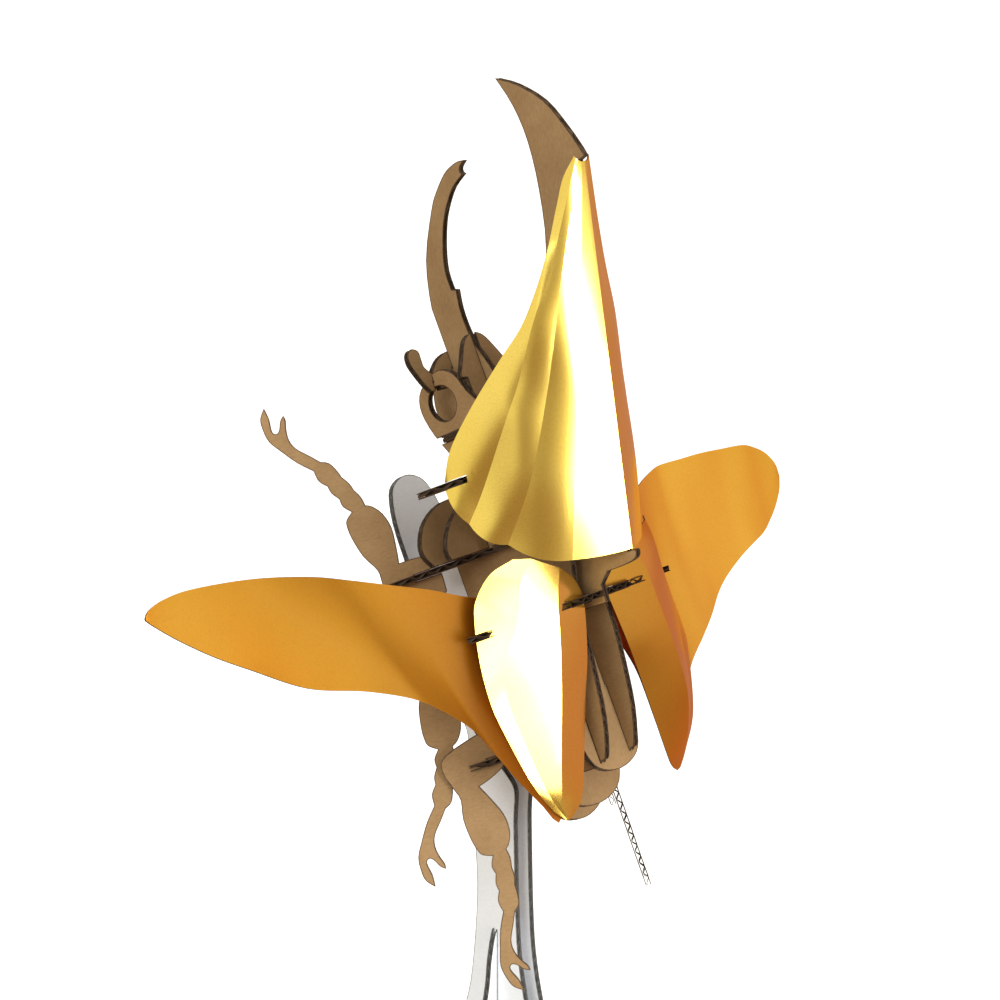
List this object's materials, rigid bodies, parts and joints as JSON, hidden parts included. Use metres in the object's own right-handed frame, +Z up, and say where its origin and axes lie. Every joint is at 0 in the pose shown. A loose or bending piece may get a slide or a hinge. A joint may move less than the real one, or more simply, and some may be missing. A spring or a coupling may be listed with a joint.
{
  "type": "cardboard beetle model",
  "caption": "Slot-together hercules beetle of corrugated board with folded gold card shield, wing cases and spread wings, leaning on a white board stand.",
  "frame": {"origin": "centre of the underside of the stand's base", "axes": "+Z up, +Y the way the beetle's horns lean, +X the beetle's right"},
  "size_m": [0.43, 0.1864, 0.5528],
  "materials": {
    "kraft_board": "matte brown corrugated paper board with darkened cut edges",
    "gold_card": "satin gold-faced card",
    "white_board": "matte white corrugated paper board with grey cut edges"
  },
  "bodies": {
    "root": {"abdomen_1": "kraft_board", "abdomen_2": "kraft_board", "abdomen_3": "kraft_board", "antennae": "kraft_board", "brow": "kraft_board", "chest_low": "kraft_board", "chest_mid": "kraft_board", "cross_front": "kraft_board", "cross_hanger": "kraft_board", "cross_hind": "kraft_board", "cross_waist": "kraft_board", "eye_left": "kraft_board", "eye_right": "kraft_board", "head_cross": "kraft_board", "horn_lower": "kraft_board", "horn_upper": "kraft_board", "leg_front_left": "kraft_board", "leg_front_right": "kraft_board", "leg_hind_left": "kraft_board", "leg_hind_right": "kraft_board", "leg_middle_left": "kraft_board", "leg_middle_right": "kraft_board", "pronotum": "gold_card", "rib_left": "kraft_board", "rib_right": "kraft_board", "stand_base": "white_board", "stand_cradle": "white_board", "stand_foot": "white_board", "stand_side_left": "white_board", "stand_side_right": "white_board", "wing_case_left": "gold_card", "wing_case_right": "gold_card", "wing_left": "gold_card", "wing_right": "gold_card"}
  },
  "joints": []
}
